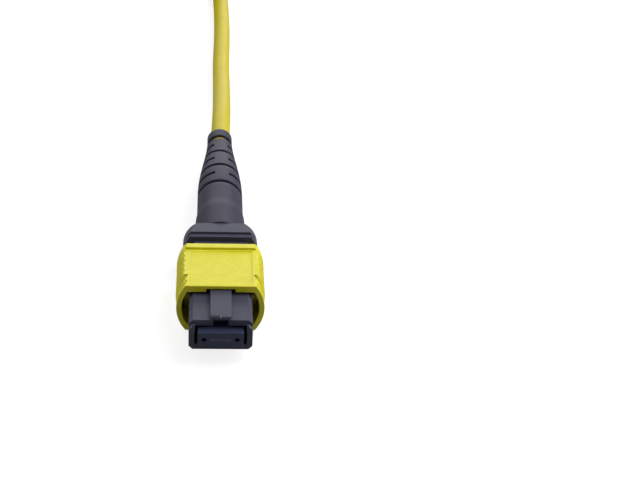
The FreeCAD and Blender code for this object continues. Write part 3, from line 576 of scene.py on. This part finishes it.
def lead_route(diameter):
    """Points of the cable's line, in metres: down from the boot, along the floor, round the hank
    and up into the far connector. They are worked out in millimetres.

    A turn goes back along one column, round its back fold and forwards along the other column,
    and a near fold takes it to the next turn. A fold is four points at odd multiples of 22.5
    degrees on a circle of radius r / cos 22.5. In a near fold r goes evenly from one column to
    the next, each point stands out by its own amount, and the cable climbs to the next layer by
    the given shares."""
    thick = diameter / MM
    low, high = (np.array(corner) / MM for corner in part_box("cable_hank"))
    boot_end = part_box("strain_relief_boot")[1][1] / MM
    floor = CAD_BOX[0][2] / MM + thick / 2
    far = np.array(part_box("far_strain_relief_boot")) / MM
    exit_x, exit_y, exit_z = far[:, 0].mean(), far[0, 1], far[:, 2].mean()
    centre = (low[0] + high[0]) / 2
    outer_reach = (high[0] - low[0] - thick) / 2
    inner_reach = outer_reach - thick
    near, back = low[1] + outer_reach + thick / 2, high[1] - outer_reach - thick / 2
    levels = [low[2] + thick * (layer + 0.5) for layer in range(3)]
    points = [(0.1, boot_end, 0), (0.35, 68.5, 0), (0.45, 77, -0.9), (0.45, 87, -2.3),
              (0.4, 98, floor), (0.7, 112, floor), (0.6, 127, floor), (0.2, 138, floor),
              (0, 147, levels[0])]
    column = (155.5, 170.5, 186.0)
    climb_evenly = (0.2, 0.5, 0.8, 1.0)
    # Each turn's reach, height, how far its back fold and each point of its near fold stand out,
    # and the near fold's climb.
    turns = [(outer_reach, levels[0], 0.4, (0.9, 0.3, 1.6, 1.4), climb_evenly),
             (inner_reach, levels[0], -0.9, (-1.5, -1.8, -1.5, -1.7), (0.0, 0.33, 0.83, 0.98)),
             (inner_reach, levels[1], -0.4, (1.4, 0.2, 0.0, 0.9), climb_evenly),
             (outer_reach, levels[1], 0.7, (1.6, 1.6, 0.9, 1.1), (0.18, 0.5, 0.97, 0.92)),
             (outer_reach, levels[2], 0.1, (-3.0, -1.8, -1.2, -0.6), climb_evenly),
             (inner_reach, levels[2], -1.1, (), ())]
    spread = 1 / math.cos(math.pi / 8)
    fold = [math.pi * (2 * k + 1) / 8 for k in range(4)]
    for turn, (reach, height, back_out, near_out, climb) in enumerate(turns):
        last = turn == len(turns) - 1
        points += [(centre + reach, y, height) for y in column]
        points += [(centre + reach * spread * math.cos(a),
                    back + back_out + reach * spread * math.sin(a), height) for a in fold]
        points += [(centre - reach, y, height) for y in column[:0 if last else None:-1]]
        if last:
            break
        next_reach, next_height = turns[turn + 1][:2]
        for a, out, share in zip(fold, near_out, climb):
            r = (reach + (next_reach - reach) * a / math.pi) * spread
            points.append((centre - r * math.cos(a), near - out - r * math.sin(a),
                           height + (next_height - height) * share))
    # The last bend rises to the far boot and meets it straight.
    reach, top = exit_x - centre, levels[2]
    corner = reach * math.tan(math.pi / 8)
    straight = 4.2
    middle = exit_y - straight
    rise = exit_z - top
    points += [(centre - reach + 0.3, 159, top),
               (centre - reach, middle - corner, top + 0.3 * rise),
               (centre - corner, middle - reach, top + 0.55 * rise),
               (centre + corner, middle - reach, top + 0.8 * rise),
               (exit_x, middle - corner, exit_z), (exit_x, exit_y, exit_z)]
    return np.array(points) * MM


# ---- settings ----
class SleeveSettings(bpy.types.PropertyGroup):
    """Sliding sleeve."""
    colour: bpy.props.FloatVectorProperty(
        name="Colour", description="Moulded polycarbonate of the sleeve", subtype="COLOR", size=4,
        min=0, max=1, default=linear("#CFC80E"))
    edge: bpy.props.FloatProperty(
        name="Edge radius", description="Rounding of the sleeve's edges, in millimetres",
        default=0.08, min=0.02, max=0.3)
    groove_pitch: bpy.props.FloatProperty(
        name="Groove pitch", description="From one grip groove to the next", unit="LENGTH",
        default=1.3 * MM)
    front_grooves_start: bpy.props.FloatProperty(
        name="Front grooves start", description="Behind the sleeve's front", unit="LENGTH",
        default=0.4 * MM)
    front_grooves: bpy.props.IntProperty(
        name="Front grooves", description="Number ahead of the step", default=2, min=0)
    wide_grooves_start: bpy.props.FloatProperty(
        name="Wide grooves start", description="Behind the sleeve's front", unit="LENGTH",
        default=3.15 * MM)
    wide_grooves: bpy.props.IntProperty(
        name="Wide grooves", description="Number in the wide grip", default=5, min=0)
    groove_edge: bpy.props.FloatProperty(
        name="Groove depth at the flats", description="How far a groove cuts into a flat's edge",
        unit="LENGTH", default=0.26 * MM)
    groove_middle: bpy.props.FloatProperty(
        name="Groove depth at the middle", description="Added to a groove's depth there",
        unit="LENGTH", default=0.14 * MM)
    groove_lean: bpy.props.FloatProperty(
        name="Groove lean", description="How far a valley lies behind the middle of its groove",
        unit="LENGTH", default=0.42 * MM)
    flat_edge: bpy.props.FloatProperty(
        name="Flat edge", description="Half width beyond which only the bowed sides lie",
        unit="LENGTH", default=4.9 * MM)
    panel_wider: bpy.props.FloatProperty(
        name="Panel wider", description="Added to each side of the sunk panels", unit="LENGTH",
        default=0.25 * MM)
    panel_longer: bpy.props.FloatProperty(
        name="Panel longer", description="Added to the back of the sunk panels", unit="LENGTH",
        default=0.35 * MM)
    rim_rise: bpy.props.FloatProperty(
        name="Rim rise", description="Height of the rear rim over the flats", unit="LENGTH",
        default=0.35 * MM)


class BodySettings(bpy.types.PropertyGroup):
    """Inner housing, rear body and ferrule."""
    colour: bpy.props.FloatVectorProperty(
        name="Colour", description="Moulded polymer of the housing and rear body",
        subtype="COLOR", size=4, min=0, max=1, default=linear("#3C3C4D"))
    ferrule_colour: bpy.props.FloatVectorProperty(
        name="Ferrule colour", description="Filled resin of the ferrule", subtype="COLOR", size=4,
        min=0, max=1, default=linear("#2B324A"))
    ferrule_edge: bpy.props.FloatProperty(
        name="Ferrule edge radius", description="Rounding of the ferrule's edges, in millimetres",
        default=0.07, min=0.02, max=0.2)
    edge: bpy.props.FloatProperty(
        name="Edge radius", description="Rounding of the moulded edges, in millimetres",
        default=0.08, min=0.02, max=0.2)


class BootSettings(bpy.types.PropertyGroup):
    """Slotted strain relief."""
    colour: bpy.props.FloatVectorProperty(
        name="Colour", description="Elastomer of the boot", subtype="COLOR", size=4, min=0, max=1,
        default=linear("#333242"))
    base_radius: bpy.props.FloatProperty(
        name="Base radius", description="Radius of the thick base", unit="LENGTH",
        default=3.87 * MM)
    base_length: bpy.props.FloatProperty(
        name="Base length", description="Length of the thick base", unit="LENGTH",
        default=6.9 * MM)
    base_ease: bpy.props.FloatProperty(
        name="Base ease", description="Length over which the base narrows to the smooth part",
        unit="LENGTH", default=3.0 * MM)
    barrel_radius: bpy.props.FloatProperty(
        name="Barrel radius", description="Radius of the smooth part", unit="LENGTH",
        default=3.65 * MM)
    tip_radius: bpy.props.FloatProperty(
        name="Tip radius", description="Radius where the tail ends", unit="LENGTH",
        default=2.1 * MM)
    taper_start: bpy.props.FloatProperty(
        name="Taper start", description="Where the tail begins to narrow, from the base",
        unit="LENGTH", default=14.3 * MM)
    collar_radius: bpy.props.FloatProperty(
        name="Collar radius", description="Radius of the end ring", unit="LENGTH",
        default=2.15 * MM)
    collar_length: bpy.props.FloatProperty(
        name="Collar length", description="Length of the end ring", unit="LENGTH",
        default=2.65 * MM)
    slot_start: bpy.props.FloatProperty(
        name="First slot", description="Distance of the first slot from the base", unit="LENGTH",
        default=12.9 * MM)
    slot_pitch: bpy.props.FloatProperty(
        name="Slot pitch", description="From one slot to the next", unit="LENGTH",
        default=3.0 * MM)
    slot_width: bpy.props.FloatProperty(
        name="Slot width", description="Width of a slot along the cable", unit="LENGTH",
        default=0.8 * MM)
    last_slot: bpy.props.FloatProperty(
        name="Last slot", description="Width of the slot beside the end ring", unit="LENGTH",
        default=1.3 * MM)
    turn: bpy.props.FloatProperty(
        name="Turn", description="How far the boot has turned on the cable", unit="ROTATION",
        default=math.radians(5))
    slot_count: bpy.props.IntProperty(
        name="Slots", description="Number of slots, in turn top and bottom, and left and right",
        default=7, min=1, max=12)
    web_side: bpy.props.FloatProperty(
        name="Side web", description="Half height of the webs beside the upper and lower slots",
        unit="LENGTH", default=0.5 * MM)
    web_top: bpy.props.FloatProperty(
        name="Top web", description="Half width of the webs between the side slots",
        unit="LENGTH", default=1.15 * MM)


class LeadSettings(bpy.types.PropertyGroup):
    """Cable and its tie."""
    colour: bpy.props.FloatVectorProperty(
        name="Colour", description="Extruded jacket of the cable", subtype="COLOR", size=4, min=0,
        max=1, default=linear("#BAAB1A"))
    diameter: bpy.props.FloatProperty(
        name="Diameter", description="Outside of the jacket", unit="LENGTH", default=3.3 * MM)
    length: bpy.props.FloatProperty(
        name="Length", description="Of the cable between its two boots", unit="LENGTH",
        default=0.94)
    strap_colour: bpy.props.FloatVectorProperty(
        name="Tie colour", description="Nylon strap round the hank", subtype="COLOR", size=4,
        min=0, max=1, default=linear("#2A2A2C"))
    strap_thickness: bpy.props.FloatProperty(
        name="Tie thickness", description="Of the nylon strap", unit="LENGTH", default=0.8 * MM)


class StageSettings(bpy.types.PropertyGroup):
    """Camera, lights and floor."""
    camera_place: bpy.props.FloatVectorProperty(
        name="Camera place", description="Where the camera stands", subtype="TRANSLATION",
        unit="LENGTH", default=(-2.32560 * MM, -145.77202 * MM, 107.36437 * MM))
    camera_turn: bpy.props.FloatVectorProperty(
        name="Camera turn", description="Rotation of the camera about X, Y and Z",
        subtype="EULER", unit="ROTATION",
        default=tuple(math.radians(a) for a in (58.15075, -3.30177, -3.89548)))
    lens: bpy.props.FloatProperty(
        name="Lens", description="Focal length in millimetres", default=73.125)
    softbox: bpy.props.FloatProperty(
        name="Softbox", description="Power of the main light, up on the right", unit="POWER",
        default=1.42)
    surround: bpy.props.FloatProperty(
        name="Surround", description="Strength of the even light from all round", default=0.245)


class FIBRE_LEAD_settings(bpy.types.PropertyGroup):
    """All sizes and colours."""
    sleeve: bpy.props.PointerProperty(type=SleeveSettings)
    body: bpy.props.PointerProperty(type=BodySettings)
    boot: bpy.props.PointerProperty(type=BootSettings)
    lead: bpy.props.PointerProperty(type=LeadSettings)
    stage: bpy.props.PointerProperty(type=StageSettings)


# ---- operators ----
class FIBRE_LEAD_OT_camera(bpy.types.Operator):
    """Places the camera"""
    bl_idname = "fibre_lead.camera"
    bl_label = "Camera"

    def execute(self, context):
        s = context.scene.fibre_lead.stage
        data = bpy.data.cameras.new("camera")
        data.lens = s.lens
        data.sensor_width = 36.0
        data.clip_start = 0.01
        camera = bpy.data.objects.new("camera", data)
        camera.location = s.camera_place
        camera.rotation_euler = s.camera_turn
        context.scene.collection.objects.link(camera)
        context.scene.camera = camera
        return {"FINISHED"}


class FIBRE_LEAD_OT_cable(bpy.types.Operator):
    """Lays the cable from the boot to the hank, round its turns and into the far connector"""
    bl_idname = "fibre_lead.cable"
    bl_label = "Cable"

    def execute(self, context):
        s = context.scene.fibre_lead.lead
        route = lead_route(s.diameter)
        curve = bpy.data.curves.new("lead_cable", "CURVE")
        curve.dimensions = "3D"
        spline = curve.splines.new("NURBS")
        spline.points.add(len(route) - 1)
        spline.points.foreach_set("co", np.c_[route, np.ones(len(route))].ravel())
        spline.points.foreach_set("radius", np.full(len(route), s.diameter / 2))
        spline.order_u = 3
        spline.use_endpoint_u = True
        spline.resolution_u = 6
        curve.bevel_depth = 1.0     # times each point's radius
        curve.bevel_resolution = 6
        curve.use_fill_caps = True
        material = extruded_jacket(s.colour[:])
        new_piece("lead_cable", curve, "connector",
                  ("cable", "cable_hank", "cable_far_end"), material)
        give(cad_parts["cable_jacket"], material)
        return {"FINISHED"}


class FIBRE_LEAD_OT_tie(bpy.types.Operator):
    """Straps the hank of spare cable together"""
    bl_idname = "fibre_lead.tie"
    bl_label = "Tie"

    def execute(self, context):
        s = context.scene.fibre_lead.lead
        new_piece("strap", strap_mesh("strap", s), "connector", ("hank_tie",),
                  woven_nylon(s.strap_colour[:]))
        return {"FINISHED"}


class FIBRE_LEAD_OT_sleeves(bpy.types.Operator):
    """Dresses the sliding sleeves of both connectors"""
    bl_idname = "fibre_lead.sleeves"
    bl_label = "Sleeves"

    def execute(self, context):
        s = context.scene.fibre_lead.sleeve
        mesh = softened("coupling", "sliding_sleeve", s.edge, from_degrees=14,
                        shaped=lambda points: serrated(points, s))
        at_both_ends("sliding_sleeve", mesh, ("sleeve", "far_sleeve"),
                     "coupling", moulded_polycarbonate(s.colour[:]))
        return {"FINISHED"}


class FIBRE_LEAD_OT_housings(bpy.types.Operator):
    """Dresses the inner housings and the rear bodies of both connectors"""
    bl_idname = "fibre_lead.housings"
    bl_label = "Housings"

    def execute(self, context):
        s = context.scene.fibre_lead.body
        material = moulded_polymer(s.colour[:])
        for node, name in (("inner_housing", "nose_housing"), ("rear_body", "rear_block")):
            at_both_ends(name, softened(node, name, s.edge), ("connector", "connector"),
                         node, material)
        give(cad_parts["pin_keeper"], material)
        return {"FINISHED"}


class FIBRE_LEAD_OT_ferrules(bpy.types.Operator):
    """Dresses the ferrules, their fibres and what lies behind them"""
    bl_idname = "fibre_lead.ferrules"
    bl_label = "Ferrules"

    def execute(self, context):
        s = context.scene.fibre_lead.body
        at_both_ends("fibre_ferrule", softened("ferrule", "fibre_ferrule", s.ferrule_edge),
                     ("ferrule_stack", "far_ferrule_block"), "ferrule",
                     filled_resin(s.ferrule_colour[:]))
        give(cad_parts["optical_fibres"], fused_silica(linear("#8FA3B8")))
        give(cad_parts["fibre_ribbon"], coated_ribbon(linear("#BFD6DC")))
        give(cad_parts["ferrule_boot"], moulded_rubber(linear("#1A1A1C")))
        return {"FINISHED"}


class FIBRE_LEAD_OT_boots(bpy.types.Operator):
    """Makes the slotted strain reliefs of both connectors"""
    bl_idname = "fibre_lead.boots"
    bl_label = "Boots"

    def execute(self, context):
        s = context.scene.fibre_lead.boot
        at_both_ends("slotted_boot", boot_mesh("slotted_boot", s), ("connector", "connector"),
                     "strain_relief_boot", moulded_elastomer(s.colour[:]))
        return {"FINISHED"}


class FIBRE_LEAD_OT_metalwork(bpy.types.Operator):
    """Finishes the springs, the crimp and the yarn under it"""
    bl_idname = "fibre_lead.metalwork"
    bl_label = "Springs and crimp"

    def execute(self, context):
        steel = drawn_steel(linear("#B8B9BC"))
        for node in ("main_spring", "coupling_spring_left", "coupling_spring_right"):
            give(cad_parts[node], steel)
        give(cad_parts["crimp_ring"], plated_crimp(linear("#C9C7C0")))
        give(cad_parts["aramid_yarn"], combed_aramid(linear("#D8B64A")))
        return {"FINISHED"}


class FIBRE_LEAD_OT_declare(bpy.types.Operator):
    bl_idname = "fibre_lead.declare"
    bl_label = "Declare cable"

    def execute(self, context):
        return {"FINISHED"}


class FIBRE_LEAD_OT_stage(bpy.types.Operator):
    """Lays the floor and hangs the soft lights"""
    bl_idname = "fibre_lead.stage"
    bl_label = "Stage"

    def execute(self, context):
        s = context.scene.fibre_lead.stage
        half, down = 3.0, CAD_BOX[0][2]
        mesh = mesh_from("floor", np.array([(-half, -half, down), (half, -half, down),
                                            (half, half, down), (-half, half, down)]),
                         np.array([(0, 1, 2, 3)]))
        floor = bpy.data.objects.new("floor", mesh)
        context.scene.collection.objects.link(floor)
        give(floor, pale_board())
        target = Vector((0.0, 0.02, 0.0))
        # Each light's name, place, width and share of the softbox's power.
        for name, place, size, share in (
                ("softbox", (0.25, 0.10, 0.40), 0.3, 1.0),
                ("left_box", (-0.25, 0.10, 0.40), 0.3, 0.18),
                ("right_card", (0.35, 0.02, 0.12), 0.2, 0.65),
                ("left_card", (-0.35, 0.02, 0.12), 0.2, 0.34),
                ("back_card", (0.0, 0.40, 0.12), 0.3, 0.37)):
            data = bpy.data.lights.new(name, "AREA")
            data.size = size
            data.energy = s.softbox * share
            light = bpy.data.objects.new(name, data)
            light.location = place
            aim = target - light.location
            light.rotation_euler = aim.to_track_quat("-Z", "Y").to_euler()
            light.visible_camera = False
            context.scene.collection.objects.link(light)
        world = bpy.data.worlds.new("studio")
        world.use_nodes = True
        feed(world.node_tree.nodes["Background"], {"Color": WHITE, "Strength": s.surround})
        context.scene.world = world
        context.scene.view_settings.view_transform = "Standard"
        return {"FINISHED"}


class FIBRE_LEAD_PT_panel(bpy.types.Panel):
    """The lead's steps, in order"""
    bl_idname = "FIBRE_LEAD_PT_panel"
    bl_label = "Fibre lead"
    bl_space_type = "VIEW_3D"
    bl_region_type = "UI"
    bl_category = "Fibre lead"

    def draw(self, context):
        for step in STEPS:
            self.layout.operator("fibre_lead." + step)


STEPS = ("camera", "cable", "tie", "sleeves", "housings", "ferrules", "boots", "metalwork",
         "declare", "stage")
CLASSES = (SleeveSettings, BodySettings, BootSettings, LeadSettings, StageSettings,
           FIBRE_LEAD_settings, FIBRE_LEAD_OT_camera, FIBRE_LEAD_OT_cable, FIBRE_LEAD_OT_tie,
           FIBRE_LEAD_OT_sleeves, FIBRE_LEAD_OT_housings, FIBRE_LEAD_OT_ferrules,
           FIBRE_LEAD_OT_boots, FIBRE_LEAD_OT_metalwork, FIBRE_LEAD_OT_declare,
           FIBRE_LEAD_OT_stage, FIBRE_LEAD_PT_panel)


def register():
    for each in CLASSES:
        bpy.utils.register_class(each)
    bpy.types.Scene.fibre_lead = bpy.props.PointerProperty(type=FIBRE_LEAD_settings)


def unregister():
    del bpy.types.Scene.fibre_lead
    for each in reversed(CLASSES):
        bpy.utils.unregister_class(each)


def main():
    register()
    for step in STEPS:
        getattr(bpy.ops.fibre_lead, step)()


if __name__ == "__main__":
    main()
